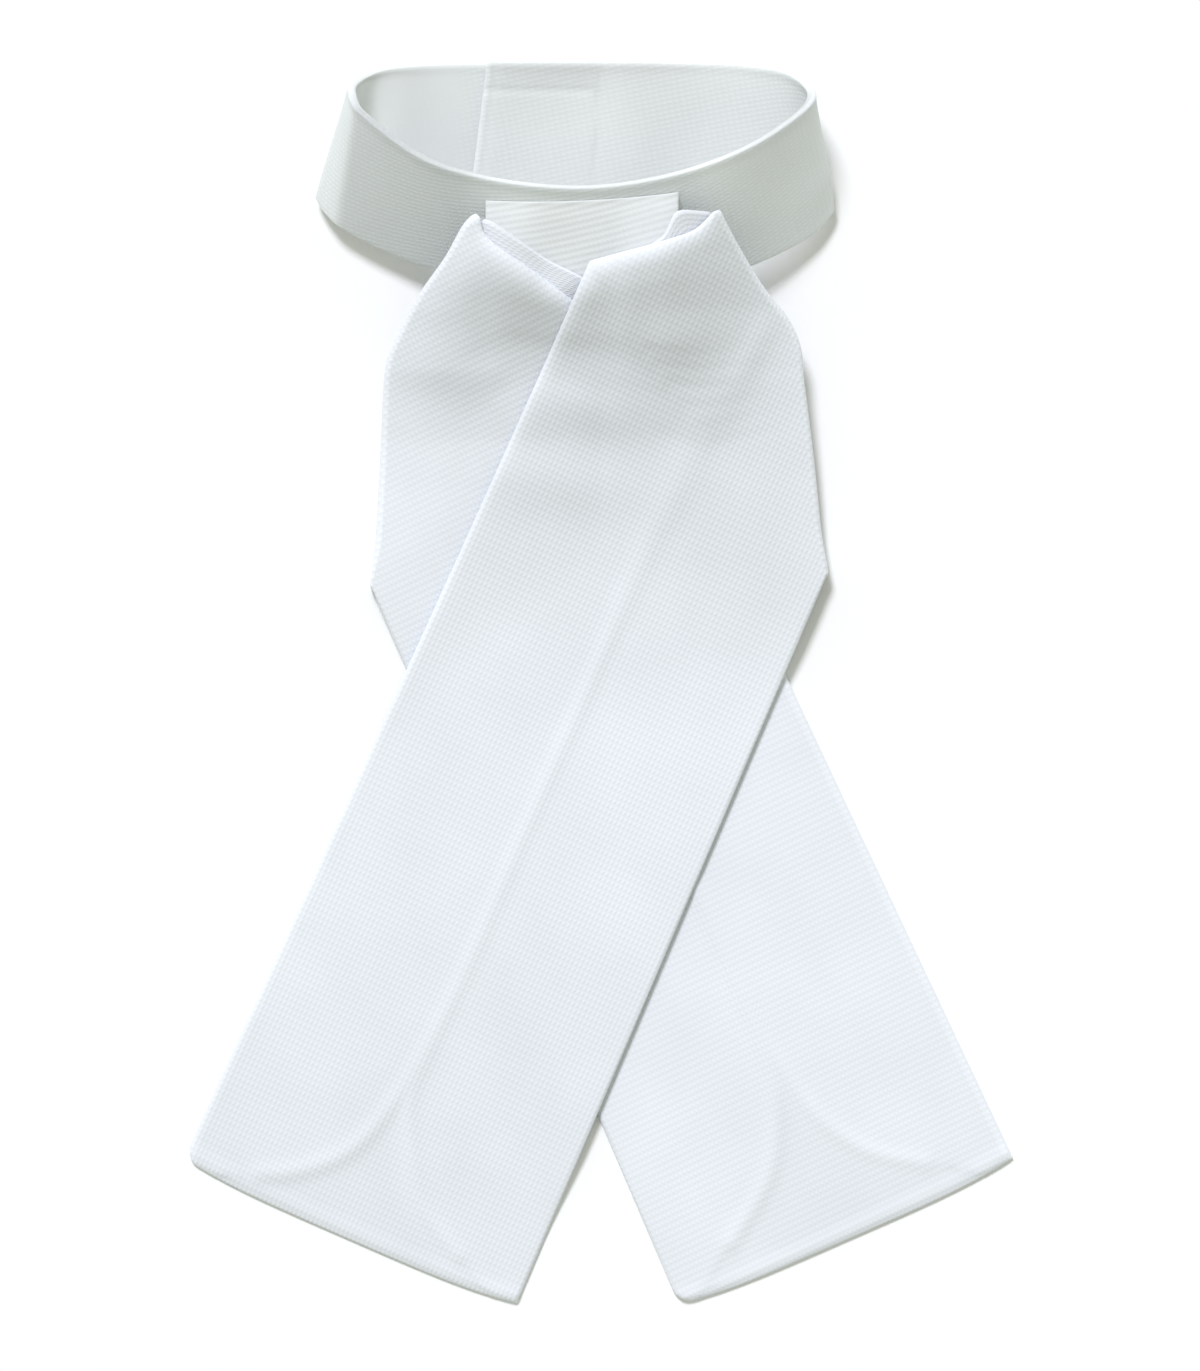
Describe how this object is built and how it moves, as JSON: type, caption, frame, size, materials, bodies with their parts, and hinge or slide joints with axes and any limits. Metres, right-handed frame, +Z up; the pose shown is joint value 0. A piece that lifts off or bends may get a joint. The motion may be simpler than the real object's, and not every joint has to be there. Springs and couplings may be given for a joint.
{
  "type": "cravat",
  "caption": "Pre-tied white riding stock: a closed neckband with a front tab and crossed, folded cloth tails, lying flat",
  "frame": {"origin": "Middle of the outline seen from above, on the surface that the cravat lies on", "axes": "+Y runs from the tail ends to the neckband, +X to the right as seen from above, +Z up from the surface it lies on"},
  "size_m": [0.2537, 0.3822, 0.0508],
  "materials": {
    "band_cloth": "white dotted pique cotton, pressed",
    "fastener_tape": "white woven hook and loop tape",
    "tab_cloth": "white dotted pique cotton, pressed",
    "tail_cloth": "white dotted pique cotton, pressed"
  },
  "bodies": {
    "root": {"neckband": "band_cloth", "touch_fastener": "fastener_tape", "knot_tab": "tab_cloth", "tail_rear": "tail_cloth", "tail_front": "tail_cloth"}
  },
  "joints": []
}
